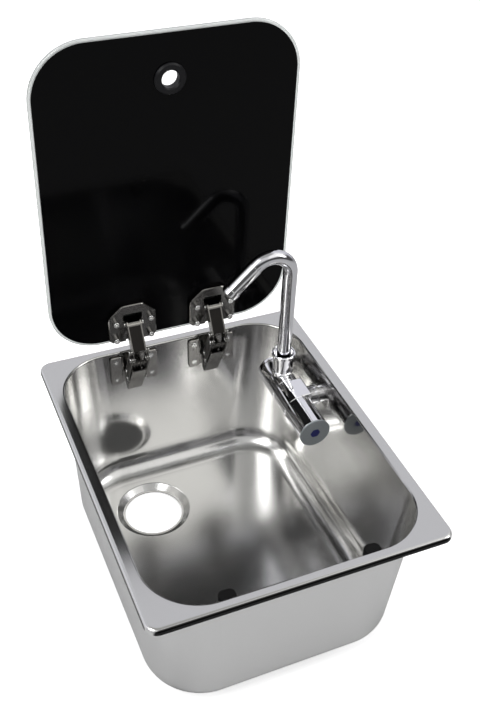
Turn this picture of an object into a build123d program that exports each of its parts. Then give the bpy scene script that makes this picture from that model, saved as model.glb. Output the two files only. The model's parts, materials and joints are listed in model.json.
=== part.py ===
from build123d import *
import math
import os

os.makedirs("parts", exist_ok=True)

# Frame: X to the right, Y back towards the raised lid, Z up, millimetres.
# The origin is the centre of the rim's top face, so everything in the worktop is below z = 0.

# ---- pressed steel bowl ----
SHEET = 0.8
RIM_X, RIM_Y, RIM_R = 285.6, 354.0, 12.0
LIP_DROP, CREST_R = 5.5, 4.0
SIDE_FLANGE, END_FLANGE = 13.3, 11.0
MOUTH_X, MOUTH_Y, MOUTH_R = RIM_X / 2 - SIDE_FLANGE, RIM_Y / 2 - END_FLANGE, 52.5
FOOT_CORNER_R = 59.0
SIDE_SLOPE = math.tan(math.radians(2.1))
END_SLOPE = math.tan(math.radians(3.2))
FLOOR_Z, FLOOR_RISE_X, FLOOR_RISE_Y = -162.5, 0.0157, -0.030
FOOT_R = 22.0
MOUTH_LIP_R = 2.0
DRAIN_FROM_LEFT, DRAIN_FROM_BACK, DRAIN_R = 79.5, 77.0, 31.0
DRAIN_X, DRAIN_Y = DRAIN_FROM_LEFT - MOUTH_X, MOUTH_Y - DRAIN_FROM_BACK
DISH_R, DISH_FOOT_R, DISH_DROP, DISH_BEND = 40.0, 33.0, 5.0, 1.0
SEAL_WIDTH, SEAL_DEPTH, SEAL_INSET = 5.0, 3.5, 4.4

# ---- glass lid, drawn standing open ----
SIDE_GAP, BACK_GAP, FRONT_GAP = 1.5, 3.2, 2.8
CLOSED_BACK_Y, CLOSED_TOP_Z = MOUTH_Y - BACK_GAP, 0.0
GLASS_W, GLASS_L = 2 * (MOUTH_X - SIDE_GAP), MOUTH_Y - FRONT_GAP + CLOSED_BACK_Y
GLASS_T, GLASS_R, GLASS_EDGE = 4.0, 52.0, 0.7
GLASS_BACK_Y, GLASS_BOTTOM_Z = MOUTH_Y + 4.25, 15.4
RING_FROM_EDGE, RING_HOLE_R, RING_BORE_R, RING_R = 44.8, 12.5, 8.3, 15.0
RING_Z = GLASS_BOTTOM_Z + GLASS_L - RING_FROM_EDGE
RING_FRONT, RING_BACK = 3.0, 1.6

# ---- rubber bumpers on the front wall ----
BUMPER_X, BUMPER_W, BUMPER_H, BUMPER_OUT = 68.0, 15.5, 9.5, 12.5
BUMPER_TOP_Z = -4.3
BUMPER_STEM_R, BUMPER_BARB_R = 2.9, 4.6

# ---- lid hinges ----
HINGE_X = 44.0
LID_PIN = (MOUTH_Y - 6.0, 39.5)
ARM_REACH = (-16.0, -25.0)
GUIDE_STEP = (-3.0, -7.7)
PIVOT_R, PIVOT_FIT = 1.5, 0.05
LUG_R = 2.6
LINK_IN, LINK_OUT = 8.4, 9.9
BOX_IN, BOX_OUT = 6.5, 8.0
ARM_IN, ARM_OUT, ARM_WEB_BACK, ARM_WEB_T = 6.3, 7.5, 0.8, 1.0
TOP_LIP_W = 8.6
TOP_LIP = ((-4.1, 0.9), (-6.5, 2.9), (-5.9, 3.7), (-3.9, 2.1))
EAR_IN, EAR_OUT = 7.8, 9.4
EAR_R = 3.1
LID_PIN_R, LID_PIN_HEAD_R, PIN_HEAD_POCKET = 1.8, 2.7, 1.2
HEAD_R, INNER_HEAD_R, HEAD_T = 2.3, 1.9, 0.8
BACK_T, PAD_T, PAD_IN, WING_W = 0.9, 2.6, 13.0, 26.0
FRONT_T = 1.0
RIB_FROM, RIB_TO, RIB_W, TIE_AT = 24.2, 33.0, 5.6, 28.5
WING_TOP, WING_FOOT = -4.5, -40.0
BOX_FOOT = -49.5
BOX_NOSE = (MOUTH_Y - 22.6, -11.8)
BOX_TOP, BOX_STEP_Y = -9.8, MOUTH_Y - 19.0
BOX_HEEL_Y = MOUTH_Y - 4.5
PLATE_T, PLATE_W = 3.5, 25.5
PLATE_Z0, PLATE_Z1 = 16.5, 61.5
PLATE_SHOULDER_Z, PLATE_CROWN_W, PLATE_CORNER_R = 48.5, 11.0, 7.0
BOND_T = 1.25
WINDOW_W, WINDOW_TOP_Z = 9.75, 51.0
EAR_TOP_Z = 42.7
LID_SCREW_X, LID_SCREW_Z = 18.5, (22.5, 43.5)
LID_SCREW_HEAD_R, LID_SCREW_HEAD = 3.0, 5.5
BASE_SCREW_X, BASE_SCREW_Z = 19.5, (-11.0, -33.5)
M3_R = 1.5

# ---- tap ----
VALVE_FROM_WALL, VALVE_Z, VALVE_R = 26.9, -39.0, 16.0
VALVE_X = MOUTH_X - VALVE_FROM_WALL
POST_FROM_BACK, POST_OFFSET = 61.0, 0.8
POST_X, POST_Y = VALVE_X + POST_OFFSET, MOUTH_Y - POST_FROM_BACK
KNOB_REACH, BODY_REACH, BODY_END_REACH = 84.0, 46.0, 17.0
KNOB_Y, BODY_Y, BODY_END_Y = POST_Y - KNOB_REACH, POST_Y - BODY_REACH, POST_Y - BODY_END_REACH
HOUSING_REACH, TAP_REACH = 20.5, 26.5
HOUSING_END_Y, TAP_END_Y = POST_Y + HOUSING_REACH, POST_Y + TAP_REACH
FACE_GAP = 0.3
RUN_FIT = 0.05
BLOCK_X, BLOCK_Y = VALVE_X + 14.9, (BODY_Y + 1.0, BODY_END_Y - 0.5)
BLOCK_TOP, BLOCK_FOOT = VALVE_Z + VALVE_R - 0.1, VALVE_Z - 14.0
SHANK_R, SHANK_BORE_R = 10.0, 5.0
WALL_WASHER_T, WALL_WASHER_R = 1.5, 12.0
WALL_NUT_T, WALL_NUT_AF = 8.0, 27.0
CARTRIDGE_R, CARTRIDGE_WALL = 9.5, 8.0
CARTRIDGE_BORE_Y = BODY_END_Y - CARTRIDGE_WALL
SPINDLE_R = 3.5
AXLE_R, AXLE_BORE_R = 7.5, 4.0
TUBE_R, TUBE_T = 7.4, 1.0
NECK_R, NECK_Z, NECK_TURN, NECK_STRAIGHT = 22.0, 105.0, 134.0, 40.0
TUBE_FOOT, SEAL_T = VALVE_Z + 10.0, 1.3
SOCKET_R, SOCKET_RING_R, SOCKET_RING_Z = 9.9, 11.0, VALVE_Z + VALVE_R + 2.2
COLLAR_Z0, COLLAR_TOP, CUP_FLOOR = SOCKET_RING_Z + 2.0, 2.5, -6.0
COLLAR_R, CUP_R, CUP_BORE_R, CUP_LIP = 12.6, 11.4, 10.3, 4.0
SLEEVE_FROM, SLEEVE_R = 1.5, 7.8
NOZZLE_FROM, NOZZLE_R = 33.0, 8.7

FOOT = (Align.CENTER, Align.CENTER, Align.MIN)


# ---- drawing helpers ----
def rod(start, along, length, r, r_end=None):
    """A round bar from start, or a cone when r_end is given."""
    if r_end is None:
        body = Cylinder(r, length, align=FOOT)
    else:
        body = Cone(r, r_end, length, align=FOOT)
    return Plane(origin=start, z_dir=along) * body


def tube(start, along, length, r_out, r_in):
    """A round pipe from start."""
    return rod(start, along, length, r_out) - rod(start, along, length, r_in)


def turned(start, along, profile):
    """A turned piece; profile is (radius, height) round the outline."""
    face = Plane.XZ * make_face(Polyline(*profile, close=True))
    return Plane(origin=start, z_dir=along) * revolve(face, axis=Axis.Z)


def slab(outline, x0, x1):
    """A (Y, Z) outline pushed across from x0 to x1."""
    face = Plane.YZ.offset(x0) * make_face(Polyline(*outline, close=True))
    return extrude(face, amount=x1 - x0)


def bar(p, q, r, x0, x1):
    """A flat bar with round ends on the (Y, Z) points p and q, from x0 to x1."""
    dy, dz = q[0] - p[0], q[1] - p[1]
    middle = Pos((p[0] + q[0]) / 2, (p[1] + q[1]) / 2)
    angle = math.degrees(math.atan2(dz, dy))
    shape = SlotCenterToCenter(math.hypot(dy, dz), 2 * r, rotation=angle)
    return extrude(Plane.YZ.offset(x0) * middle * shape, amount=x1 - x0)


def cross_rod(p, r, x0, x1):
    """A round bar across the object at the (Y, Z) point p."""
    return rod((x0, p[0], p[1]), (1, 0, 0), x1 - x0, r)


def block(x0, x1, y0, y1, z0, z1):
    """A box between its six faces."""
    middle = Pos((x0 + x1) / 2, (y0 + y1) / 2, (z0 + z1) / 2)
    return middle * Box(x1 - x0, y1 - y0, z1 - z0)


def hex_nut(at, across_flats, thickness, bore_r):
    """A hexagon nut standing on the plane at."""
    outer = extrude(RegularPolygon(across_flats / math.sqrt(3), 6), amount=thickness)
    outer = chamfer(outer.faces().sort_by(Axis.Z)[-1].edges(), 0.35)
    return at * (outer - Cylinder(bore_r, thickness, align=FOOT))


def add(p, q):
    return (p[0] + q[0], p[1] + q[1])


def mirrored(x_centre, offset):
    """The two X positions an offset either side of a centre."""
    return (x_centre - offset, x_centre + offset)


def save(name, shape):
    shape.label = name
    export_step(shape, f"parts/{name}.step")


def together(pieces):
    """Several separate solids kept as one group."""
    solids = [solid for piece in pieces for solid in piece.solids()]
    return Compound(children=solids)


# ---- bowl walls, as planes whose z axis points out of the bowl ----
def back_y(z):
    return MOUTH_Y + END_SLOPE * z


def back_wall(x, z):
    return Plane(origin=(x, back_y(z), z), x_dir=(1, 0, 0), z_dir=(0, 1, -END_SLOPE))


def front_wall(x, z):
    return Plane(origin=(x, -back_y(z), z), x_dir=(1, 0, 0), z_dir=(0, -1, -END_SLOPE))


def right_wall(y, z):
    origin = (MOUTH_X + SIDE_SLOPE * z, y, z)
    return Plane(origin=origin, x_dir=(0, 1, 0), z_dir=(1, 0, -SIDE_SLOPE))


def floor_z(x, y):
    return FLOOR_Z + FLOOR_RISE_X * x + FLOOR_RISE_Y * y


FLOOR_UP = (-FLOOR_RISE_X, -FLOOR_RISE_Y, 1)
DRAIN = Plane(origin=(DRAIN_X, DRAIN_Y, floor_z(DRAIN_X, DRAIN_Y)), z_dir=FLOOR_UP)


# ---- bowl ----
def tub(grow):
    """The hollow's shape, or the outside of the sheet when grow is its thickness."""
    deep = 200.0
    mouth = RectangleRounded(2 * (MOUTH_X + grow), 2 * (MOUTH_Y + grow), MOUTH_R + grow)
    low_x = MOUTH_X + grow - SIDE_SLOPE * deep
    low_y = MOUTH_Y + grow - END_SLOPE * deep
    low = Pos(0, 0, -deep) * RectangleRounded(2 * low_x, 2 * low_y, FOOT_CORNER_R + grow)
    walls = loft([mouth, low], ruled=True)
    floor = Plane(origin=(0, 0, FLOOR_Z - grow), z_dir=FLOOR_UP)
    shape = split(walls, bisect_by=floor, keep=Keep.TOP)
    foot = shape.faces().sort_by(Axis.Z)[0]
    return fillet(foot.edges(), FOOT_R + grow)


def with_dish(grow):
    """The tub with the cone pressed into its floor round the waste hole."""
    spread = (DISH_R - DISH_FOOT_R) / DISH_DROP
    foot_r = DISH_FOOT_R + grow * (math.hypot(1, spread) - spread)
    height = DISH_DROP + grow + 1.0
    cone = Cone(foot_r, foot_r + spread * height, height, align=FOOT)
    cone = fillet(cone.edges().sort_by(Axis.Z)[0], DISH_BEND + grow)
    shape = tub(grow) + DRAIN.offset(-DISH_DROP - grow) * cone
    ring_r = foot_r + spread * DISH_DROP
    circles = shape.edges().filter_by(GeomType.CIRCLE)
    ring = [e for e in circles if abs(e.radius - ring_r) < 0.05]
    return fillet(ring, DISH_BEND + SHEET - grow)


def rim(grow):
    """The rim's outside, rolled over at the edge, or its inside when grow is minus the sheet."""
    outline = RectangleRounded(RIM_X + 2 * grow, RIM_Y + 2 * grow, RIM_R + grow)
    shape = extrude(Pos(0, 0, -LIP_DROP) * outline, amount=LIP_DROP + grow)
    return fillet(shape.faces().sort_by(Axis.Z)[-1].edges(), CREST_R + grow)


sink_bowl = rim(0.0) - rim(-SHEET) + with_dish(SHEET) - with_dish(0.0)
sink_bowl -= DRAIN.offset(-DISH_DROP - 3) * Cylinder(DRAIN_R, 6, align=FOOT)
top_edges = sink_bowl.edges().filter_by_position(Axis.Z, -0.001, 0.001)
sink_bowl = fillet([e for e in top_edges if max(abs(e.center().X) - MOUTH_X,
                                                abs(e.center().Y) - MOUTH_Y) < 3], MOUTH_LIP_R)

for side in (-1, 1):
    for dx in (-BASE_SCREW_X, BASE_SCREW_X):
        for z in BASE_SCREW_Z:
            hole = Cylinder(M3_R + 0.1, 6)
            sink_bowl -= back_wall(side * HINGE_X + dx, z) * hole
    bumper_hole = front_wall(side * BUMPER_X, BUMPER_TOP_Z - BUMPER_H / 2) * Cylinder(
        BUMPER_STEM_R + 0.05, 6)
    sink_bowl -= bumper_hole
shank_y = (BLOCK_Y[0] + BLOCK_Y[1]) / 2
sink_bowl -= right_wall(shank_y, VALVE_Z) * Cylinder(SHANK_R + 0.2, 6)
save("sink_bowl", sink_bowl)

seal_x, seal_y = RIM_X - 2 * SEAL_INSET, RIM_Y - 2 * SEAL_INSET
seal_z = -SHEET - SEAL_DEPTH
rim_seal = extrude(Pos(0, 0, seal_z) * RectangleRounded(seal_x, seal_y, RIM_R - SEAL_INSET),
                   amount=SEAL_DEPTH)
rim_seal -= extrude(Pos(0, 0, seal_z) * RectangleRounded(seal_x - 2 * SEAL_WIDTH,
                                                        seal_y - 2 * SEAL_WIDTH, 2.0),
                    amount=SEAL_DEPTH)
save("rim_seal", rim_seal)


# ---- bumpers ----
def bumper(x):
    z0, z1 = BUMPER_TOP_Z - BUMPER_H, BUMPER_TOP_Z
    wall_top, wall_foot = -back_y(z1), -back_y(z0)
    nose = -MOUTH_Y + BUMPER_OUT
    outline = [(wall_foot, z0), (nose, z0), (nose, z1), (wall_top, z1)]
    plug = slab(outline, x - BUMPER_W / 2, x + BUMPER_W / 2)
    plug = fillet(plug.edges().filter_by(Axis.Z).sort_by(Axis.Y)[-2:], BUMPER_W / 2 - 2.5)
    plug = fillet(plug.faces().sort_by(Axis.Z)[-1].edges().sort_by(Axis.Y)[1:], 1.2)
    at = front_wall(x, (z0 + z1) / 2)
    plug += at * Cylinder(BUMPER_STEM_R, SHEET, align=FOOT)
    plug += at.offset(SHEET) * Cone(BUMPER_BARB_R, 2.0, 3.4, align=FOOT)
    return plug


save("left_bumper", bumper(-BUMPER_X))
save("right_bumper", bumper(BUMPER_X))

# ---- glass lid and finger ring ----
glass_front_y = GLASS_BACK_Y - GLASS_T
glass_mid_z = GLASS_BOTTOM_Z + GLASS_L / 2
pane = Plane(origin=(0, GLASS_BACK_Y, glass_mid_z), x_dir=(1, 0, 0), z_dir=(0, -1, 0))
glass_lid = extrude(pane * RectangleRounded(GLASS_W, GLASS_L, GLASS_R), amount=GLASS_T)
rim_edges = glass_lid.faces().filter_by(Axis.Y).edges()
glass_lid = chamfer(rim_edges, GLASS_EDGE)
glass_lid -= rod((0, GLASS_BACK_Y, RING_Z), (0, -1, 0), GLASS_T, RING_HOLE_R)
save("glass_lid", glass_lid)

ring_back_y = GLASS_BACK_Y + RING_BACK
ring_depth = RING_BACK + GLASS_T + RING_FRONT
ring_profile = [
    (RING_BORE_R + 0.8, 0), (RING_R - 0.8, 0), (RING_R, 0.8), (RING_R, RING_BACK),
    (RING_HOLE_R, RING_BACK), (RING_HOLE_R, RING_BACK + GLASS_T),
    (RING_R, RING_BACK + GLASS_T), (RING_R, ring_depth - 1.5), (RING_R - 1.5, ring_depth),
    (RING_BORE_R + 1.2, ring_depth), (RING_BORE_R, ring_depth - 1.2), (RING_BORE_R, 0.8)]
save("finger_ring", turned((0, ring_back_y, RING_Z), (0, -1, 0), ring_profile))

# ---- hinge geometry, all (Y, Z) points ----
# The lid turns about a pole inside the rim. The pole takes the open pane to the closed
# one; each link is parallel to the line from the pole to the lid pin and as long.
pole_sum = CLOSED_BACK_Y + GLASS_BOTTOM_Z
pole_difference = GLASS_BACK_Y - CLOSED_TOP_Z
POLE = ((pole_sum + pole_difference) / 2, (pole_sum - pole_difference) / 2)
LIFT_TOP = add(LID_PIN, ARM_REACH)
LIFT_FOOT = add(POLE, ARM_REACH)
GUIDE_TOP = add(LIFT_TOP, GUIDE_STEP)
GUIDE_FOOT = add(LIFT_FOOT, GUIDE_STEP)
link_length = math.hypot(LIFT_TOP[0] - LIFT_FOOT[0], LIFT_TOP[1] - LIFT_FOOT[1])


def along_guide(distance, side_step=0.0):
    """A point on the guide link, a distance up from its foot pivot."""
    uy = (GUIDE_TOP[0] - GUIDE_FOOT[0]) / link_length
    uz = (GUIDE_TOP[1] - GUIDE_FOOT[1]) / link_length
    return (GUIDE_FOOT[0] + uy * distance - uz * side_step,
            GUIDE_FOOT[1] + uz * distance + uy * side_step)


def wall_strip(x0, x1, z_top, z_foot, thickness):
    """A flat strip lying on the back wall inside the bowl."""
    outline = [(back_y(z_top), z_top), (back_y(z_foot), z_foot),
               (back_y(z_foot) - thickness, z_foot), (back_y(z_top) - thickness, z_top)]
    return slab(outline, x0, x1)


def hinge_base(xc):
    """Folded bracket: a raised pad each side on the back wall, a box with a slanted front."""
    base = wall_strip(xc - WING_W + 2.0, xc + WING_W - 2.0, WING_TOP - 1.5, WING_FOOT + 1.5, BACK_T)
    for way in (-1, 1):
        x0, x1 = sorted((xc + way * PAD_IN, xc + way * WING_W))
        pad = wall_strip(x0, x1, WING_TOP, WING_FOOT, PAD_T)
        pad = fillet(pad.edges().filter_by(lambda e: e.length < 1.1 * PAD_T), 3.2)
        base += chamfer(pad.faces().sort_by(Axis.Y)[0].edges(), 0.6)
    nose_y, nose_z = BOX_NOSE
    cheek = [(back_y(BOX_TOP), BOX_TOP), (BOX_STEP_Y, BOX_TOP), (nose_y, nose_z),
             (BOX_HEEL_Y, BOX_FOOT), (back_y(BOX_FOOT), BOX_FOOT)]
    for x0, x1 in ((-BOX_OUT, -BOX_IN), (BOX_IN, BOX_OUT)):
        base += slab(cheek, xc + x0, xc + x1)
    lean = math.atan2(nose_z - BOX_FOOT, BOX_HEEL_Y - nose_y)
    back_step = FRONT_T / math.sin(lean)
    front = [(nose_y, nose_z), (BOX_HEEL_Y, BOX_FOOT), (BOX_HEEL_Y + back_step, BOX_FOOT),
             (nose_y + back_step, nose_z)]
    base += slab(front, xc - BOX_OUT, xc + BOX_OUT)
    for point in (LIFT_FOOT, GUIDE_FOOT):
        base -= cross_rod(point, PIVOT_R, xc - BOX_OUT, xc + BOX_OUT)
    for x in mirrored(xc, BASE_SCREW_X):
        for z in BASE_SCREW_Z:
            base -= base_screw(x, z)
    return base


def base_screw(x, z):
    """Countersunk screw, its head flush with the pad, its point outside the bowl."""
    at = back_wall(x, z).offset(-PAD_T)
    head = at * Cone(2.9, M3_R, 1.4, align=FOOT)
    return head + at * Cylinder(M3_R, PAD_T + SHEET + 4.5, align=FOOT)


def driven(screw, at, size, depth):
    """The screw with a cross recess in the head that lies on the plane at."""
    cross = Box(size, size / 4, depth * 2) + Box(size / 4, size, depth * 2)
    return screw - at * cross


def rivet(point, x_in, x_out, outward, fixed_t, shoulder=0.0):
    """A pivot rivet set in a cheek: inner head, shank, optional shoulder, outer head."""
    inner = rod((x_in, *point), (outward, 0, 0), HEAD_T, INNER_HEAD_R)
    shank_from = x_in + outward * HEAD_T
    shank = rod((shank_from, *point), (outward, 0, 0), abs(x_out - shank_from), PIVOT_R)
    head = rod((x_out - outward * HEAD_T, *point), (outward, 0, 0), HEAD_T, HEAD_R)
    head = fillet(head.edges().sort_by(Axis.X)[-1 if outward > 0 else 0], 0.5)
    piece = inner + shank + head
    if shoulder:
        start = shank_from + outward * fixed_t
        piece += rod((start, *point), (outward, 0, 0), shoulder, 2.3)
    return piece


def base_pins(xc):
    pins = []
    for point in (LIFT_FOOT, GUIDE_FOOT):
        for way in (-1, 1):
            x_in = xc + way * (BOX_IN - HEAD_T)
            x_out = xc + way * (LINK_OUT + 0.1 + HEAD_T)
            pins.append(rivet(point, x_in, x_out, way, BOX_OUT - BOX_IN))
    return together(pins)


def arm_pins(xc):
    pins = []
    for point in (LIFT_TOP, GUIDE_TOP):
        for way in (-1, 1):
            x_in = xc + way * (ARM_IN - HEAD_T)
            x_out = xc + way * (LINK_OUT + 0.1 + HEAD_T)
            spacer = LINK_IN - 0.1 - ARM_OUT
            pins.append(rivet(point, x_in, x_out, way, ARM_OUT - ARM_IN, spacer))
    return together(pins)


def link_pair(xc, foot, top):
    plates = []
    for x0, x1 in ((-LINK_OUT, -LINK_IN), (LINK_IN, LINK_OUT)):
        plate = bar(foot, top, LUG_R, xc + x0, xc + x1)
        for point in (foot, top):
            plate -= cross_rod(point, PIVOT_R + PIVOT_FIT, xc + x0, xc + x1)
        plates.append(plate)
    return plates


def guide_link(xc):
    """The two guide plates tied together by a bar that carries a ribbed plate."""
    plates = link_pair(xc, GUIDE_FOOT, GUIDE_TOP)
    tie = cross_rod(along_guide(TIE_AT), 1.1, xc - LINK_OUT, xc + LINK_OUT)
    middle = slab([along_guide(RIB_FROM, -0.9), along_guide(RIB_TO, -0.9),
                   along_guide(RIB_TO, 0.4), along_guide(RIB_FROM, 0.4)], xc - RIB_W, xc + RIB_W)
    link = plates[0] + plates[1] + tie + middle
    for dx in (-RIB_W + 0.7, -RIB_W / 3, RIB_W / 3, RIB_W - 0.7):
        link += slab([along_guide(RIB_FROM, 0.3), along_guide(RIB_TO, 0.3),
                      along_guide(RIB_TO, 1.3), along_guide(RIB_FROM, 1.3)],
                     xc + dx - 0.7, xc + dx + 0.7)
    return link


def hinge_arm(xc):
    """A channel open to the back: two cheeks, a front web and a turned-out top lip."""
    cheek_r = 4.0
    arm = None
    for x0, x1 in ((-ARM_OUT, -ARM_IN), (ARM_IN, ARM_OUT)):
        cheek = bar(LID_PIN, LIFT_TOP, cheek_r, xc + x0, xc + x1)
        cheek += bar(LIFT_TOP, GUIDE_TOP, 3.4, xc + x0, xc + x1)
        arm = cheek if arm is None else arm + cheek
    length = math.hypot(*ARM_REACH)
    uy, uz = ARM_REACH[0] / length, ARM_REACH[1] / length
    ny, nz = uz, -uy

    def web_point(distance, out):
        return (LID_PIN[0] + uy * distance + ny * out, LID_PIN[1] + uz * distance + nz * out)

    web_front = cheek_r - ARM_WEB_BACK
    web = [web_point(-1.0, web_front), web_point(length, web_front),
           web_point(length, web_front - ARM_WEB_T), web_point(-1.0, web_front - ARM_WEB_T)]
    arm += slab(web, xc - ARM_OUT, xc + ARM_OUT)
    arm += slab([add(LID_PIN, step) for step in TOP_LIP], xc - TOP_LIP_W, xc + TOP_LIP_W)
    arm += slab([web_point(0.0, web_front - 1.0), web_point(0.0, cheek_r + 0.4),
                 web_point(1.5, cheek_r + 0.4), web_point(1.5, web_front - 1.0)],
                xc - ARM_OUT, xc + ARM_OUT)
    arm -= cross_rod(LID_PIN, LID_PIN_R + PIVOT_FIT, xc - ARM_OUT, xc + ARM_OUT)
    for point in (LIFT_TOP, GUIDE_TOP):
        arm -= cross_rod(point, PIVOT_R, xc - ARM_OUT, xc + ARM_OUT)
    return arm


def plate_outline(xc, y, depth):
    """The octagonal hinge plate on the glass, standing at y and depth thick."""
    at = Plane(origin=(xc, y, 0), x_dir=(1, 0, 0), z_dir=(0, -1, 0))
    corner = 4.0
    outline = [(-PLATE_W + corner, PLATE_Z0), (PLATE_W - corner, PLATE_Z0),
               (PLATE_W, PLATE_Z0 + corner), (PLATE_W, PLATE_SHOULDER_Z),
               (PLATE_CROWN_W, PLATE_Z1), (-PLATE_CROWN_W, PLATE_Z1),
               (-PLATE_W, PLATE_SHOULDER_Z), (-PLATE_W, PLATE_Z0 + corner)]
    plate = extrude(at * make_face(Polyline(*outline, close=True)), amount=depth)
    crown = [e for e in plate.edges().filter_by(Axis.Y) if e.center().Z > PLATE_SHOULDER_Z - 1]
    plate = fillet(crown, PLATE_CORNER_R)
    foot = [e for e in plate.edges().filter_by(Axis.Y) if e.center().Z < PLATE_Z0 + corner + 1]
    return fillet(foot, 3.0)


def lid_plate(xc):
    back = glass_front_y - BOND_T
    plate = plate_outline(xc, back, PLATE_T)
    plate = chamfer(plate.faces().sort_by(Axis.Y)[0].edges(), 0.8)
    plate -= block(xc - WINDOW_W, xc + WINDOW_W, back - PLATE_T, back, EAR_TOP_Z, WINDOW_TOP_Z)
    plate -= block(xc - EAR_IN, xc + EAR_IN, back - PLATE_T, back, PLATE_Z0, EAR_TOP_Z)
    face_y = back - PLATE_T
    pin_y, pin_z = LID_PIN
    for x0, x1 in ((-EAR_OUT, -EAR_IN), (EAR_IN, EAR_OUT)):
        ear = cross_rod(LID_PIN, EAR_R, xc + x0, xc + x1)
        ear += block(xc + x0, xc + x1, pin_y, face_y + 1, pin_z - EAR_R, pin_z + EAR_R)
        plate += ear
    plate -= cross_rod(LID_PIN, LID_PIN_R, xc - EAR_OUT, xc + EAR_OUT)
    for x0 in (xc - EAR_OUT - PIN_HEAD_POCKET, xc + EAR_OUT):
        plate -= cross_rod(LID_PIN, LID_PIN_HEAD_R + 0.3, x0, x0 + PIN_HEAD_POCKET)
    for x in mirrored(xc, LID_SCREW_X):
        for z in LID_SCREW_Z:
            plate -= rod((x, back, z), (0, -1, 0), PLATE_T, M3_R + 0.1)
    return plate


def bond_plate(xc):
    plate = plate_outline(xc, glass_front_y, BOND_T)
    plate -= block(xc - WINDOW_W, xc + WINDOW_W, glass_front_y - BOND_T, glass_front_y,
                   EAR_TOP_Z - 14, WINDOW_TOP_Z)
    for x in mirrored(xc, LID_SCREW_X):
        for z in LID_SCREW_Z:
            plate -= rod((x, glass_front_y, z), (0, -1, 0), BOND_T, M3_R)
    return plate


def lid_screw(x, z):
    face_y = glass_front_y - BOND_T - PLATE_T
    head = rod((x, face_y, z), (0, -1, 0), LID_SCREW_HEAD, LID_SCREW_HEAD_R)
    head = fillet(head.edges().sort_by(Axis.Y)[0], 0.8)
    shank = rod((x, glass_front_y, z), (0, -1, 0), BOND_T + PLATE_T, M3_R)
    socket = RegularPolygon(1.5, 6)
    end = Plane(origin=(x, face_y - LID_SCREW_HEAD, z), x_dir=(1, 0, 0), z_dir=(0, 1, 0))
    return head + shank - extrude(end * socket, amount=2.0)


def lid_pin(xc):
    pin = cross_rod(LID_PIN, LID_PIN_R, xc - EAR_OUT - 0.4, xc + EAR_OUT + 0.4)
    for x0 in (xc - EAR_OUT - HEAD_T, xc + EAR_OUT):
        pin += cross_rod(LID_PIN, LID_PIN_HEAD_R, x0, x0 + HEAD_T)
    return pin


for side, xc in (("left", -HINGE_X), ("right", HINGE_X)):
    save(f"{side}_hinge_base", hinge_base(xc))
    save(f"{side}_base_pins", base_pins(xc))
    save(f"{side}_lift_links", together(link_pair(xc, LIFT_FOOT, LIFT_TOP)))
    save(f"{side}_guide_link", guide_link(xc))
    save(f"{side}_hinge_arm", hinge_arm(xc))
    save(f"{side}_arm_pins", arm_pins(xc))
    save(f"{side}_lid_plate", lid_plate(xc))
    save(f"{side}_bond_plate", bond_plate(xc))
    save(f"{side}_lid_pin", lid_pin(xc))

base_screws, base_nuts, lid_screws = [], [], []
for xc in (-HINGE_X, HINGE_X):
    for x in mirrored(xc, BASE_SCREW_X):
        for z in BASE_SCREW_Z:
            head_face = back_wall(x, z).offset(-PAD_T)
            base_screws.append(driven(base_screw(x, z), head_face, 3.2, 0.7))
            base_nuts.append(hex_nut(back_wall(x, z).offset(SHEET), 5.5, 2.4, M3_R))
    for x in mirrored(xc, LID_SCREW_X):
        for z in LID_SCREW_Z:
            lid_screws.append(lid_screw(x, z))
save("hinge_base_screws", together(base_screws))
save("hinge_base_nuts", together(base_nuts))
save("lid_plate_screws", together(lid_screws))


# ---- tap ----
def on_valve(y):
    return (VALVE_X, y, VALVE_Z)


BACKWARD = (0, 1, 0)
shank_wall = right_wall(shank_y, VALVE_Z)
shank_inside = 14.0
nut_foot = SHEET + WALL_WASHER_T
shank_out = nut_foot + WALL_NUT_T + 2.0

tap_body = rod(on_valve(BODY_Y), BACKWARD, BODY_END_Y - BODY_Y, VALVE_R)
tap_body = chamfer(tap_body.edges(), 0.5)
lug = block(VALVE_X, BLOCK_X, *BLOCK_Y, BLOCK_FOOT, BLOCK_TOP)
lug = fillet(lug.edges().filter_by(Axis.X) + lug.faces().sort_by(Axis.X)[-1].edges(), 1.5)
tap_body += lug
tap_body += shank_wall.offset(-shank_inside) * Cylinder(SHANK_R, shank_inside + shank_out,
                                                        align=FOOT)
tap_body -= rod(on_valve(BODY_Y), BACKWARD, CARTRIDGE_BORE_Y - BODY_Y, CARTRIDGE_R)
tap_body -= rod(on_valve(CARTRIDGE_BORE_Y), BACKWARD, BODY_END_Y - CARTRIDGE_BORE_Y, AXLE_R)
water_way = shank_wall.offset(-VALVE_FROM_WALL) * Cylinder(
    SHANK_BORE_R, VALVE_FROM_WALL + shank_out, align=FOOT)
tap_body -= water_way
save("tap_body", tap_body)

washer = Cylinder(WALL_WASHER_R, WALL_WASHER_T, align=FOOT)
washer -= Cylinder(SHANK_R, WALL_WASHER_T, align=FOOT)
save("tap_inner_washer", shank_wall.offset(-WALL_WASHER_T) * washer)
save("tap_outer_washer", shank_wall.offset(SHEET) * washer)
save("tap_wall_nut", hex_nut(shank_wall.offset(nut_foot), WALL_NUT_AF, WALL_NUT_T, SHANK_R))

TAIL_OUT = 15.0
tail_profile = [(3.0, -6), (SHANK_BORE_R, -6), (SHANK_BORE_R, 0), (7.5, 0), (7.5, 2.5), (5.0, 2.5)]
for rib in range(3):
    z = 3.5 + rib * 3.6
    tail_profile += [(5.0, z), (6.2, z), (5.0, z + 3.2)]
tail_profile += [(5.0, TAIL_OUT), (3.0, TAIL_OUT)]
tail_face = Plane.XZ * make_face(Polyline(*tail_profile, close=True))
save("inlet_tail", shank_wall.offset(shank_out) * revolve(tail_face, axis=Axis.Z))

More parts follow.
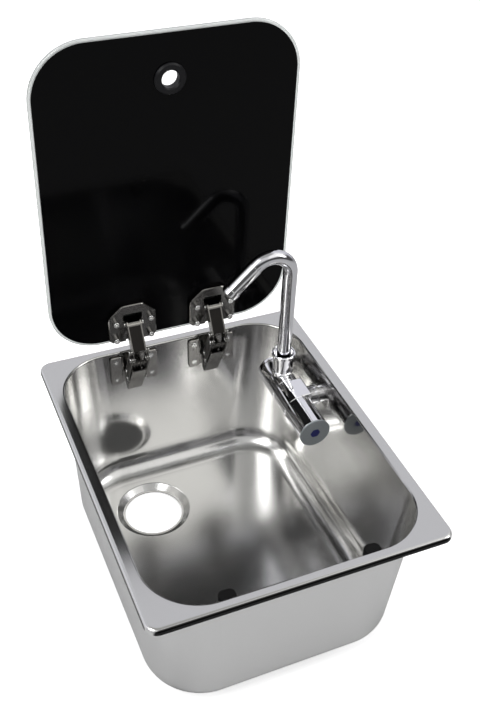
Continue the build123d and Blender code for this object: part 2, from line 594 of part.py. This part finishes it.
cartridge_front = BODY_Y - 6.0
valve_cartridge = rod(on_valve(BODY_Y + 0.5), BACKWARD, CARTRIDGE_BORE_Y - BODY_Y - 0.5,
                      CARTRIDGE_R)
valve_cartridge += rod(on_valve(cartridge_front), BACKWARD, 7, 6.0)
valve_cartridge -= rod(on_valve(cartridge_front), BACKWARD, 20, SPINDLE_R + RUN_FIT)
valve_cartridge -= shank_wall.offset(-26) * Cylinder(SHANK_BORE_R - 1.5, 20, align=FOOT)
valve_cartridge -= rod(on_valve(cartridge_front + 20), BACKWARD, 10, 3.0)
save("valve_cartridge", valve_cartridge)

HUB_DEPTH, SPINDLE_FLAT = 15.0, 1.0
HUB_Y = KNOB_Y + HUB_DEPTH
tap_spindle = rod(on_valve(HUB_Y + 1.0), BACKWARD, cartridge_front + 19 - HUB_Y - 1.0, SPINDLE_R)
flat = block(VALVE_X - 5, VALVE_X + 5, HUB_Y + 1.0, cartridge_front - 1.0,
             VALVE_Z + SPINDLE_R - SPINDLE_FLAT, VALVE_Z + SPINDLE_R + 2)
tap_spindle -= flat
tap_spindle -= rod(on_valve(HUB_Y + 1.0), BACKWARD, 9, M3_R)
save("tap_spindle", tap_spindle)

CAP_R, CAP_T, CAP_SPIGOT_R = VALVE_R + 0.7, 2.0, 12.6
knob_back = BODY_Y - FACE_GAP
tap_knob = rod(on_valve(KNOB_Y), BACKWARD, knob_back - KNOB_Y, VALVE_R)
tap_knob = fillet(tap_knob.edges().sort_by(Axis.Y)[0], 0.6)
tap_knob = chamfer(tap_knob.edges().sort_by(Axis.Y)[-1], 0.5)
tap_knob -= rod(on_valve(KNOB_Y), BACKWARD, CAP_T, CAP_SPIGOT_R)
tap_knob -= rod(on_valve(KNOB_Y), BACKWARD, HUB_Y - 3.0 - KNOB_Y, 9.0)
tap_knob -= rod(on_valve(knob_back - 8), BACKWARD, 8, 13.5)
tap_knob -= rod(on_valve(HUB_Y - 4), BACKWARD, 5.0, M3_R + 0.15)
socket = rod(on_valve(HUB_Y + 1.0), BACKWARD, knob_back - HUB_Y, SPINDLE_R)
tap_knob -= socket - flat
save("tap_knob", tap_knob)

knob_screw = rod(on_valve(HUB_Y - 5.4), BACKWARD, 2.4, 2.8)
knob_screw += rod(on_valve(HUB_Y - 3.5), BACKWARD, 11, M3_R)
screw_face = Plane(origin=on_valve(HUB_Y - 5.4), x_dir=(1, 0, 0), z_dir=(0, 1, 0))
save("knob_screw", driven(knob_screw, screw_face, 3.2, 0.8))

MARK_R, MARK_T = 5.6, 0.8
cap_face = KNOB_Y - CAP_T
knob_cap = rod(on_valve(cap_face), BACKWARD, CAP_T, CAP_R)
knob_cap = fillet(knob_cap.edges(), 0.6)
knob_cap += rod(on_valve(KNOB_Y - 0.5), BACKWARD, CAP_T + 0.5, CAP_SPIGOT_R)
knob_cap += tube(on_valve(KNOB_Y + CAP_T - 0.1), BACKWARD, 4.0, 9.0, 7.5)
mark_plane = Plane(origin=on_valve(cap_face + MARK_T), x_dir=(1, 0, 0), z_dir=(0, -1, 0))
knob_mark = extrude(mark_plane * RegularPolygon(MARK_R, 6), amount=MARK_T)
knob_mark = fillet(knob_mark.edges().filter_by(Axis.Y), 1.2)
save("knob_cap", knob_cap - knob_mark)
save("knob_mark", knob_mark)

# ---- folding spout ----
housing_y = BODY_END_Y + FACE_GAP
GROOVE_R, RING_SECTION = AXLE_R - 1.8, 0.9
seal_at = (housing_y + 6.0, HOUSING_END_Y - 6.0)
axle_start = CARTRIDGE_BORE_Y + 0.2
fold_axle = rod(on_valve(axle_start), BACKWARD, TAP_END_Y - 1.5 - axle_start, AXLE_R)
fold_axle -= rod(on_valve(axle_start), BACKWARD, POST_Y + 4 - axle_start, AXLE_BORE_R)
for y in seal_at:
    fold_axle -= tube(on_valve(y - RING_SECTION), BACKWARD, 2 * RING_SECTION, AXLE_R + 1, GROOVE_R)
fold_axle -= rod((POST_X, POST_Y, VALVE_Z), (0, 0, 1), 12, 2.8)
save("fold_axle", fold_axle)

seals = []
for y in seal_at:
    ring = Torus(GROOVE_R + RING_SECTION, RING_SECTION)
    seals.append(Plane(origin=on_valve(y), z_dir=BACKWARD) * ring)
save("fold_seals", together(seals))

save("fold_washer", tube(on_valve(HOUSING_END_Y + 0.3), BACKWARD, 1.2, 12.5, AXLE_R))
cap_y = HOUSING_END_Y + 1.5
fold_cap = rod(on_valve(cap_y), BACKWARD, TAP_END_Y - cap_y, VALVE_R - 1.0)
fold_cap = fillet(fold_cap.edges().sort_by(Axis.Y)[-1], 1.5)
fold_cap -= rod(on_valve(cap_y), BACKWARD, TAP_END_Y - 1.5 - cap_y, AXLE_R)
save("fold_cap", fold_cap)

POST = (POST_X, POST_Y)
spout_base = rod(on_valve(housing_y), BACKWARD, HOUSING_END_Y - housing_y, VALVE_R)
spout_base = chamfer(spout_base.edges(), 0.5)
spout_base += turned((*POST, 0), (0, 0, 1), [
    (0, VALVE_Z + 8), (SOCKET_RING_R, VALVE_Z + 8), (SOCKET_RING_R, SOCKET_RING_Z - 0.8),
    (SOCKET_RING_R - 0.8, SOCKET_RING_Z), (SOCKET_R, SOCKET_RING_Z), (SOCKET_R, COLLAR_Z0),
    (0, COLLAR_Z0)])
spout_base -= rod(on_valve(housing_y), BACKWARD, HOUSING_END_Y - housing_y, AXLE_R + RUN_FIT)
spout_base -= rod((*POST, VALVE_Z), (0, 0, 1), TUBE_FOOT - VALVE_Z, 4.5)
spout_base -= rod((*POST, TUBE_FOOT), (0, 0, 1), COLLAR_Z0 - TUBE_FOOT, TUBE_R)
spout_base -= rod((*POST, COLLAR_Z0 - 3), (0, 0, 1), 3, TUBE_R + SEAL_T)
save("spout_base", spout_base)
save("spout_seal", tube((*POST, COLLAR_Z0 - 3), (0, 0, 1), 3, TUBE_R + SEAL_T, TUBE_R))

lip_z = COLLAR_TOP - CUP_LIP
collar_profile = [
    (TUBE_R, COLLAR_Z0), (SOCKET_R, COLLAR_Z0), (SOCKET_R + 0.6, COLLAR_Z0 + 0.6),
    (CUP_R, lip_z - 0.6), (COLLAR_R - 0.5, lip_z), (COLLAR_R, lip_z + 0.5),
    (COLLAR_R, COLLAR_TOP - 0.6), (COLLAR_R - 0.6, COLLAR_TOP), (CUP_BORE_R + 0.8, COLLAR_TOP),
    (CUP_BORE_R, COLLAR_TOP - 0.8), (CUP_BORE_R, CUP_FLOOR), (TUBE_R, CUP_FLOOR)]
save("spout_collar", turned((*POST, 0), (0, 0, 1), collar_profile))

neck_centre_x = POST_X - NECK_R
turn = math.radians(NECK_TURN)
neck_dir = (-math.sin(turn), 0, math.cos(turn))
bend_end = (neck_centre_x + NECK_R * math.cos(turn), POST_Y, NECK_Z + NECK_R * math.sin(turn))


def on_neck(distance):
    """A point on the straight end of the neck, measured from the end of the bend."""
    return tuple(bend_end[i] + neck_dir[i] * distance for i in range(3))


riser = Line((*POST, TUBE_FOOT), (*POST, NECK_Z))
middle = (neck_centre_x + NECK_R * math.cos(turn / 2), POST_Y,
          NECK_Z + NECK_R * math.sin(turn / 2))
bend = ThreePointArc((*POST, NECK_Z), middle, bend_end)
straight = Line(bend_end, on_neck(NOZZLE_FROM))
path = riser + bend + straight
section = Plane(origin=(*POST, TUBE_FOOT), z_dir=(0, 0, 1)) * (Circle(TUBE_R) - Circle(
    TUBE_R - TUBE_T))
save("spout_tube", sweep(section, path=path))

sleeve_length = NOZZLE_FROM - SLEEVE_FROM
spout_sleeve = turned(on_neck(SLEEVE_FROM), neck_dir, [
    (TUBE_R, 0), (SLEEVE_R - 0.15, 0), (SLEEVE_R, 0.3), (SLEEVE_R, sleeve_length),
    (TUBE_R, sleeve_length)])
save("spout_sleeve", spout_sleeve)

nozzle_length = NECK_STRAIGHT - NOZZLE_FROM
spout_nozzle = turned(on_neck(NOZZLE_FROM), neck_dir, [
    (TUBE_R - TUBE_T, 0), (NOZZLE_R - 0.5, 0), (NOZZLE_R, 0.5), (NOZZLE_R, nozzle_length - 1.2),
    (NOZZLE_R - 1.0, nozzle_length), (TUBE_R, nozzle_length), (TUBE_R, 2.0), (TUBE_R - TUBE_T, 2.0)])
save("spout_nozzle", spout_nozzle)

aerator = rod(on_neck(NOZZLE_FROM + 2.0), neck_dir, nozzle_length - 2.8, TUBE_R)
for ring_r in (0.0, 2.2, 4.4):
    count = max(1, round(ring_r * 2.8))
    for k in range(count):
        a = 2 * math.pi * k / count
        at = Plane(origin=on_neck(NOZZLE_FROM + 2.0), z_dir=neck_dir)
        aerator -= at * Pos(ring_r * math.cos(a), ring_r * math.sin(a)) * Cylinder(
            0.55, nozzle_length, align=FOOT)
save("aerator", aerator)
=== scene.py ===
import json
import math
import bpy
from mathutils import Matrix, Vector


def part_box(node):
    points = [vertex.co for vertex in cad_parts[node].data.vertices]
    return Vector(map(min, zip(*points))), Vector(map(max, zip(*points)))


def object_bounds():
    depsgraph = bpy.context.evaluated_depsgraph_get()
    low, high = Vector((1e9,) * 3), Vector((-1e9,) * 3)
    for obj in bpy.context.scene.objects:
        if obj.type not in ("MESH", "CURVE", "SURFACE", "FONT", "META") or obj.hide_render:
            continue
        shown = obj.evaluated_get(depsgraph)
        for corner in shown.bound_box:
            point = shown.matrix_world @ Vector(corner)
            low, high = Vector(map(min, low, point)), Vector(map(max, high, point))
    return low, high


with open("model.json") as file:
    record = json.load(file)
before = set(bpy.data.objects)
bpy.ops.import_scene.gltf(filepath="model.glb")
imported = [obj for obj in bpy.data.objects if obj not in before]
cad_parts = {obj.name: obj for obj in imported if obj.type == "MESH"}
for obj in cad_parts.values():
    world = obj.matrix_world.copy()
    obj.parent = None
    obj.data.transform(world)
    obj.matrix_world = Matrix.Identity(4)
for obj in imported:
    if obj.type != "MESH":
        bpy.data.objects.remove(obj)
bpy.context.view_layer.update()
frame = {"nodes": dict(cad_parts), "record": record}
nodes = frame["nodes"]

# ---------------------------------------------------------------- camera
# the photograph's camera, solved from the rim, the lid and the tap's post
EYE = Vector((-0.282304, -0.634780, 0.679433))
LOOK = Vector((0.31936, 0.70500, -0.63323)).normalized()
ROLL = math.radians(2.73)
FOCAL_PX = 1015.2
LONG_SIDE_PX = 706.0
SENSOR_MM = 36.0


def photo_camera():
    flat_right = LOOK.cross(Vector((0, 0, 1))).normalized()
    flat_up = flat_right.cross(LOOK).normalized()
    right = flat_right * math.cos(ROLL) + flat_up * math.sin(ROLL)
    up = flat_up * math.cos(ROLL) - flat_right * math.sin(ROLL)
    lens_data = bpy.data.cameras.new("camera")
    lens_data.sensor_fit = "AUTO"
    lens_data.sensor_width = SENSOR_MM
    lens_data.lens = SENSOR_MM * FOCAL_PX / LONG_SIDE_PX
    lens_data.clip_start, lens_data.clip_end = 0.01, 50.0
    camera = bpy.data.objects.new("camera", lens_data)
    bpy.context.scene.collection.objects.link(camera)
    turn = Matrix((right, up, -LOOK)).transposed().to_4x4()
    camera.matrix_world = Matrix.Translation(EYE) @ turn
    bpy.context.scene.camera = camera


# ---------------------------------------------------------------- shader helpers
class Nodes:
    """One node tree, with short calls for the nodes used here."""

    def __init__(self, tree):
        self.tree = tree

    def node(self, kind, **values):
        """A new node. A value goes to the property of that name, or else to the input."""
        made = self.tree.nodes.new(kind)
        for key, value in values.items():
            if hasattr(made, key):
                setattr(made, key, value)
            else:
                made.inputs[key.replace("_", " ")].default_value = value
        return made

    def link(self, source, target):
        self.tree.links.new(source, target)

    def put(self, value, socket):
        """Link an output to a socket, or write a number or an RGB colour on it."""
        if isinstance(value, bpy.types.NodeSocket):
            self.link(value, socket)
        elif isinstance(value, tuple):
            socket.default_value = (*value, 1.0)
        else:
            socket.default_value = value

    def span(self, value, low, high, lo_in=0.0, hi_in=1.0, **kind):
        """A value moved from lo_in..hi_in to low..high."""
        ranged = self.node("ShaderNodeMapRange", From_Min=lo_in, From_Max=hi_in,
                           To_Min=low, To_Max=high, **kind)
        self.link(value, ranged.inputs["Value"])
        return ranged.outputs["Result"]

    def rises(self, value, start, end, **kind):
        """0 below start, 1 above end."""
        return self.span(value, 0.0, 1.0, start, end, **kind)

    def falls(self, value, start, end):
        """1 below start, 0 above end."""
        return self.span(value, 1.0, 0.0, start, end)

    def math(self, op, a, b=None):
        made = self.node("ShaderNodeMath", operation=op)
        self.put(a, made.inputs[0])
        if b is not None:
            self.put(b, made.inputs[1])
        return made.outputs[0]

    def absolute(self, value):
        return self.math("ABSOLUTE", value)

    def mix(self, kind, first, out, factor, a, b):
        """Blender's Mix node has its own two inputs and its own output for each kind."""
        made = self.node("ShaderNodeMix", data_type=kind)
        self.link(factor, made.inputs["Factor"])
        self.put(a, made.inputs[first])
        self.put(b, made.inputs[first + 1])
        return made.outputs[out]

    def fade(self, factor, a, b):
        """Number a where factor is 0, number b where it is 1."""
        return self.mix("FLOAT", 2, 0, factor, a, b)

    def blend(self, factor, a, b):
        """Colour a where factor is 0, colour b where it is 1."""
        return self.mix("RGBA", 6, 2, factor, a, b)

    def layer(self, factor, a, b):
        """Shader node a where factor is 0, shader node b where it is 1."""
        made = self.node("ShaderNodeMixShader")
        for source, target in zip((factor, a.outputs[0], b.outputs[0]), made.inputs):
            self.link(source, target)
        return made


class Shader(Nodes):
    """A material with its Principled BSDF."""

    def __init__(self, name):
        self.mat = bpy.data.materials.new(name)
        self.mat.use_nodes = True
        super().__init__(self.mat.node_tree)
        self.bsdf = self.tree.nodes["Principled BSDF"]
        self.out = self.tree.nodes["Material Output"]

    def set(self, **values):
        for key, value in values.items():
            self.put(value, self.bsdf.inputs[key.replace("_", " ")])

    def finish_with(self, shader):
        self.link(shader.outputs[0], self.out.inputs["Surface"])
        return self.mat

    def place(self, scale=(1, 1, 1)):
        """The point on the object, in metres, stretched by scale."""
        coords = self.node("ShaderNodeTexCoord")
        mapping = self.node("ShaderNodeMapping", Scale=scale)
        self.link(coords.outputs["Object"], mapping.inputs["Vector"])
        return mapping.outputs["Vector"]

    def xyz(self):
        """The three coordinates of the point on the object, in metres."""
        split = self.node("ShaderNodeSeparateXYZ")
        self.link(self.place(), split.inputs[0])
        return split.outputs["X"], split.outputs["Y"], split.outputs["Z"]

    def noise(self, scale, detail=3.0, stretch=(1, 1, 1)):
        tex = self.node("ShaderNodeTexNoise", Scale=scale, Detail=detail)
        self.link(self.place(stretch), tex.inputs["Vector"])
        return tex.outputs["Fac"]

    def vary(self, cloudy, low, high):
        """A number from low to high that follows the middle part of a noise."""
        return self.span(cloudy, low, high, 0.3, 0.7)

    def bump(self, height, distance, strength=1.0):
        made = self.node("ShaderNodeBump", Strength=strength, Distance=distance)
        self.link(height, made.inputs["Height"])
        self.link(made.outputs["Normal"], self.bsdf.inputs["Normal"])


# Grain is a noise of a scale, a detail and a stretch.
SATIN = (900.0, 2.0, (1.0, 1.0, 0.15))
CAST = (700.0, 2.0)
GRAIN_DEPTH = 0.000004


def metal(name, colour, rough, grain=None, smudge=0.03):
    s = Shader(name)
    cloudy = s.noise(18.0, 4.0)
    dark = tuple(c * 0.94 for c in colour)
    s.set(Base_Color=s.blend(cloudy, dark, colour), Metallic=1.0,
          Roughness=s.vary(cloudy, rough - smudge, rough + smudge))
    if grain:
        s.bump(s.noise(*grain), GRAIN_DEPTH)
    return s.mat


def plastic(name, colour, rough, grain=900.0, depth=0.00002, shine=0.5):
    s = Shader(name)
    fine = s.noise(grain, 2.0)
    lighter = tuple(min(1.0, c * 1.25 + 0.004) for c in colour)
    s.set(Base_Color=s.blend(fine, colour, lighter), Specular_IOR_Level=shine,
          Roughness=s.span(fine, rough - 0.06, rough + 0.06))
    s.bump(fine, depth, 0.6)
    return s.mat


# ---------------------------------------------------------------- materials
def faces_outward(s, middle):
    """How far a face looks away from a point in the middle of the bowl, in metres."""
    geometry = s.node("ShaderNodeNewGeometry")
    offset = s.node("ShaderNodeVectorMath", operation="SUBTRACT")
    offset.inputs[1].default_value = middle
    s.link(geometry.outputs["Position"], offset.inputs[0])
    outward = s.node("ShaderNodeVectorMath", operation="DOT_PRODUCT")
    s.link(offset.outputs["Vector"], outward.inputs[0])
    s.link(geometry.outputs["True Normal"], outward.inputs[1])
    return outward.outputs["Value"]


def bowl_steel():
    """Pressed stainless: polished inside, duller and brushed outside, with painted shade on the
    turned edge, in the corners, in a band under the mouth and on the floor.

    The rim's top is at z = 0. No range of roughness runs through 0.27, where the render's
    denoiser would draw a thin line.
    """
    s = Shader("pressed_steel")
    outside = s.rises(faces_outward(s, (0.0, 0.0, -0.06)), -0.005, 0.03)
    x, y, z = s.xyz()
    _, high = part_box("sink_bowl")
    # painted shade: the turned-down edge of the rim is coloured near black as a shadow line
    past_x = s.rises(s.absolute(x), high.x - 0.0007, high.x - 0.0002)
    past_y = s.rises(s.absolute(y), high.y - 0.0026, high.y - 0.0015)
    turned_edge = s.math("MAXIMUM", past_x, past_y)
    rim = s.math("MULTIPLY", s.rises(z, -0.0012, -0.0004), s.math("SUBTRACT", 1.0, turned_edge))
    # painted shade: the round corners get a darker tint; their higher roughness and stronger waves
    # are the pressed steel's own
    far_x, far_y = s.rises(s.absolute(x), 0.070, 0.095), s.rises(s.absolute(y), 0.106, 0.131)
    corner = s.math("MULTIPLY", far_x, far_y)
    # painted shade: the walls darken towards the mouth, fully in the top 10 mm and fading out 55 mm
    # down
    painted_shade_under_mouth = s.rises(z, -0.055, -0.010)
    # painted shade: the floor and its lower bend are tinted grey; dull_floor only sets their
    # roughness
    dull_floor, painted_shade_floor = s.falls(z, -0.158, -0.135), s.falls(z, -0.155, -0.140)
    cloudy = s.noise(9.0, 3.0)

    rough = s.fade(corner, s.vary(cloudy, 0.09, 0.14), s.vary(cloudy, 0.225, 0.262))
    rough = s.fade(dull_floor, rough, s.vary(cloudy, 0.17, 0.23))
    rough = s.fade(outside, rough, s.vary(cloudy, 0.36, 0.44))
    rough = s.fade(rim, rough, s.vary(cloudy, 0.14, 0.19))
    rough = s.fade(turned_edge, rough, 0.16)

    colour = s.blend(cloudy, (0.87, 0.865, 0.85), (0.93, 0.925, 0.91))
    # the corner, mouth-band, floor and turned-edge tints are painted shade; the outside and rim
    # tints are the steel's finish
    for mask, tint in ((corner, (0.68, 0.675, 0.665)), (painted_shade_under_mouth, (0.46, 0.455, 0.445)),
                       (painted_shade_floor, (0.50, 0.50, 0.495)), (outside, (0.76, 0.76, 0.76)),
                       (rim, (0.55, 0.55, 0.535)), (turned_edge, (0.02, 0.02, 0.02))):
        colour = s.blend(mask, colour, tint)
    s.set(Base_Color=colour, Metallic=1.0, Roughness=rough)

    waves = s.math("MULTIPLY", s.noise(9.0, 1.0), s.fade(corner, 0.35, 0.9))
    brushed = s.span(s.noise(300.0, 3.0, (1.0, 0.10, 1.0)), 0.0, 0.02)
    s.bump(s.math("ADD", waves, brushed), 0.00012)
    return s.mat


def edge_distance(s, x, z, half_x, half_z, radius):
    """Distance from the outline of a rectangle with round corners, below 0 inside it."""
    dx = s.math("SUBTRACT", s.absolute(x), half_x - radius)
    dz = s.math("SUBTRACT", s.absolute(z), half_z - radius)
    past_x, past_z = s.math("MAXIMUM", dx, 0.0), s.math("MAXIMUM", dz, 0.0)
    squares = s.math("ADD", s.math("MULTIPLY", past_x, past_x), s.math("MULTIPLY", past_z, past_z))
    inside = s.math("MINIMUM", s.math("MAXIMUM", dx, dz), 0.0)
    return s.math("SUBTRACT", s.math("ADD", s.math("SQRT", squares), inside), radius)


def lid_glass():
    """Toughened glass with a black print that stops short of its clear edge."""
    corner_radius, clear_margin, blur = 0.052, 0.0027, 0.0001
    s = Shader("lid_glass")
    x, _, z = s.xyz()
    low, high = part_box("glass_lid")
    from_middle = s.math("SUBTRACT", z, (high.z + low.z) / 2)
    distance = edge_distance(s, x, from_middle, (high.x - low.x) / 2, (high.z - low.z) / 2,
                             corner_radius)
    clear = s.rises(distance, -clear_margin - blur, -clear_margin + blur)
    faint = s.noise(5.0, 2.0)
    s.set(Base_Color=s.blend(faint, (0.0007, 0.0007, 0.0009), (0.0012, 0.0012, 0.0014)),
          Roughness=s.span(faint, 0.07, 0.11), IOR=1.5, Specular_IOR_Level=0.08)
    edge = s.node("ShaderNodeBsdfPrincipled", Base_Color=(0.86, 0.89, 0.88, 1), Roughness=0.12,
                  Transmission_Weight=0.55, IOR=1.5)
    return s.finish_with(s.layer(clear, s.bsdf, edge))


def arm_steel():
    """Nickel cheeks and lip with a dark lacquered web between them."""
    s = Shader("arm_steel")
    x, _, z = s.xyz()
    low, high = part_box("right_hinge_arm")
    off_middle = s.absolute(s.math("SUBTRACT", s.absolute(x), (low.x + high.x) / 2))
    between_cheeks = s.falls(off_middle, 0.0060, 0.0063)
    web = s.math("MULTIPLY", between_cheeks, s.falls(z, 0.0385, 0.0392))
    cloudy = s.noise(60.0, 3.0)
    steel = s.blend(cloudy, (0.30, 0.29, 0.275), (0.38, 0.37, 0.35))
    lacquer = s.blend(cloudy, (0.008, 0.007, 0.006), (0.015, 0.013, 0.011))
    s.set(Base_Color=s.blend(web, steel, lacquer), Metallic=s.span(web, 1.0, 0.0),
          Roughness=s.fade(web, 0.16, 0.42), Specular_IOR_Level=s.fade(web, 0.5, 0.2))
    s.bump(s.noise(*SATIN), GRAIN_DEPTH)
    return s.mat


def bracket_steel():
    """Nickel on the front faces of the pads and the box, with painted shade on their sides."""
    s = Shader("bracket_steel")
    geometry = s.node("ShaderNodeNewGeometry")
    facing = s.node("ShaderNodeSeparateXYZ")
    s.link(geometry.outputs["True Normal"], facing.inputs[0])
    # painted shade: faces turned sideways get the dark colour instead of the steel
    front = s.rises(s.absolute(facing.outputs["Y"]), 0.45, 0.80)
    cloudy = s.noise(60.0, 3.0)
    steel = s.blend(cloudy, (0.36, 0.35, 0.335), (0.46, 0.45, 0.43))
    s.set(Base_Color=s.blend(front, (0.06, 0.058, 0.054), steel), Metallic=1.0,
          Roughness=s.vary(cloudy, 0.18, 0.26))
    s.bump(s.noise(*SATIN), GRAIN_DEPTH)
    return s.mat


def dress_nodes():
    """Give every node the look of its material slot, or a look of its own."""
    looks = {
        "polished_steel": bowl_steel(),
        "black_glass": lid_glass(),
        "seal_foam": plastic("foam", (0.02, 0.02, 0.02), 0.85, 2500.0, 0.0002, 0.3),
        "black_rubber": plastic("rubber", (0.004, 0.004, 0.004), 0.45, shine=0.06),
        "seal_rubber": plastic("seal_rubber", (0.015, 0.015, 0.015), 0.55, shine=0.3),
        "black_plastic": plastic("satin_black", (0.004, 0.004, 0.005), 0.38, 1400.0, 0.00001, 0.18),
        "hinge_steel": metal("satin_nickel", (0.18, 0.176, 0.168), 0.17, SATIN),
        "pin_steel": metal("bright_steel", (0.78, 0.78, 0.77), 0.13),
        "chrome": metal("chrome", (0.76, 0.76, 0.78), 0.06, smudge=0.012),
        "knob_grey": plastic("cap_grey", (0.20, 0.22, 0.23), 0.3, 700.0, 0.000008),
        "mark_blue": plastic("mark_blue", (0.006, 0.009, 0.10), 0.3, 700.0, 0.000008, 0.25),
        "brass": metal("brass", (0.66, 0.50, 0.26), 0.24, CAST),
    }
    own_looks = {
        "tap_inner_washer": metal("washer_steel", (0.62, 0.62, 0.62), 0.2),
        "spout_tube": metal("neck_chrome", (0.63, 0.63, 0.66), 0.06, smudge=0.012),
    }
    dark_nickel = metal("dark_nickel", (0.17, 0.165, 0.155), 0.31, SATIN)
    hinge_looks = {"hinge_base": bracket_steel(), "hinge_arm": arm_steel(),
                   "lift_links": dark_nickel, "guide_link": dark_nickel}
    for side in ("left", "right"):
        own_looks.update({f"{side}_{piece}": look for piece, look in hinge_looks.items()})
    slots = {p["node"]: p["material_slot"] for p in frame["record"]["subparts"]}
    for name, obj in nodes.items():
        obj.data.materials.clear()
        obj.data.materials.append(own_looks.get(name) or looks[slots[name]])


# ---------------------------------------------------------------- floor, world and lamps
def stage_floor():
    """A white floor. Metal sees it grey, with a painted shadow under the sink."""
    low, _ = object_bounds()
    size, z = 6.0, low.z - 0.0004
    mesh = bpy.data.meshes.new("floor")
    mesh.from_pydata([(-size, -size, z), (size, -size, z), (size, size, z), (-size, size, z)],
                     [], [(0, 1, 2, 3)])
    floor = bpy.data.objects.new("floor", mesh)
    bpy.context.scene.collection.objects.link(floor)
    s = Shader("floor_white")
    path = s.node("ShaderNodeLightPath")
    mirrored = path.outputs["Is Glossy Ray"]
    x, y, _ = s.xyz()
    off_middle = s.math("MAXIMUM", s.absolute(x), s.math("MULTIPLY", s.absolute(y), 0.8))
    # painted shadow: reflections see the floor near black under the sink
    painted_shadow_under_sink = s.math("MULTIPLY", s.falls(off_middle, 0.10, 0.13), mirrored)
    pale = s.blend(s.noise(2.0), (0.9, 0.9, 0.9), (0.92, 0.92, 0.92))
    pale = s.blend(mirrored, pale, (0.55, 0.55, 0.55))
    s.set(Base_Color=s.blend(painted_shadow_under_sink, pale, (0.07, 0.07, 0.07)), Roughness=0.9)
    seen = s.math("MAXIMUM", path.outputs["Is Camera Ray"], path.outputs["Is Transmission Ray"])
    glow = s.node("ShaderNodeEmission", Strength=0.55)
    lit = s.node("ShaderNodeAddShader")
    s.link(s.bsdf.outputs[0], lit.inputs[0])
    s.link(glow.outputs[0], lit.inputs[1])
    mesh.materials.append(s.finish_with(s.layer(seen, s.bsdf, lit)))


def studio_world():
    """White to the camera and through glass, and plain light all round.

    Metal sees a room: pale behind the object, dark low in front, bright high in front and
    grey overhead.
    """
    world = bpy.data.worlds.new("studio")
    bpy.context.scene.world = world
    world.use_nodes = True
    w = Nodes(world.node_tree)
    w.tree.nodes.clear()
    coords = w.node("ShaderNodeTexCoord")
    split = w.node("ShaderNodeSeparateXYZ")
    w.link(coords.outputs["Generated"], split.inputs[0])

    def beyond(axis, start, end):
        return w.rises(split.outputs[axis], start, end, interpolation_type="SMOOTHSTEP")

    high_front = w.blend(beyond("X", 0.0, 0.22), (0.92, 0.92, 0.91), (1.45, 1.44, 1.41))
    front = w.blend(beyond("Z", 0.30, 0.62), (0.10, 0.10, 0.10), high_front)
    colour = w.blend(beyond("Y", -0.15, 0.45), front, (0.87, 0.87, 0.93))
    colour = w.blend(beyond("Z", 0.86, 0.97), colour, (0.50, 0.50, 0.49))
    room = w.node("ShaderNodeBackground")
    w.link(colour, room.inputs["Color"])
    white = w.node("ShaderNodeBackground", Color=(1, 1, 1, 1))
    even = w.node("ShaderNodeBackground", Color=(0.5, 0.5, 0.5, 1))
    path = w.node("ShaderNodeLightPath")
    seen = w.math("MAXIMUM", path.outputs["Is Camera Ray"], path.outputs["Is Transmission Ray"])
    unseen = w.layer(path.outputs["Is Glossy Ray"], even, room)
    out = w.node("ShaderNodeOutputWorld")
    w.link(w.layer(seen, unseen, white).outputs[0], out.inputs["Surface"])


def softbox(name, place, size, watts, mirrored=True):
    """A rectangular lamp that looks at the origin."""
    lamp = bpy.data.lights.new(name, "AREA")
    lamp.shape = "RECTANGLE"
    lamp.size, lamp.size_y = size
    lamp.energy = watts
    obj = bpy.data.objects.new(name, lamp)
    bpy.context.scene.collection.objects.link(obj)
    obj.location = place
    obj.rotation_mode = "QUATERNION"
    obj.rotation_quaternion = (-Vector(place)).to_track_quat("-Z", "Y")
    obj.visible_glossy = mirrored


photo_camera()
dress_nodes()
stage_floor()
studio_world()
softbox("key", (-1.5, -0.6, 1.7), (0.9, 1.3), 22.0)
softbox("fill", (1.7, -0.9, 1.3), (0.7, 1.2), 12.0)
softbox("top", (0.1, 0.1, 2.2), (1.2, 0.7), 14.0, mirrored=False)

bpy.context.scene.view_settings.view_transform = "Standard"
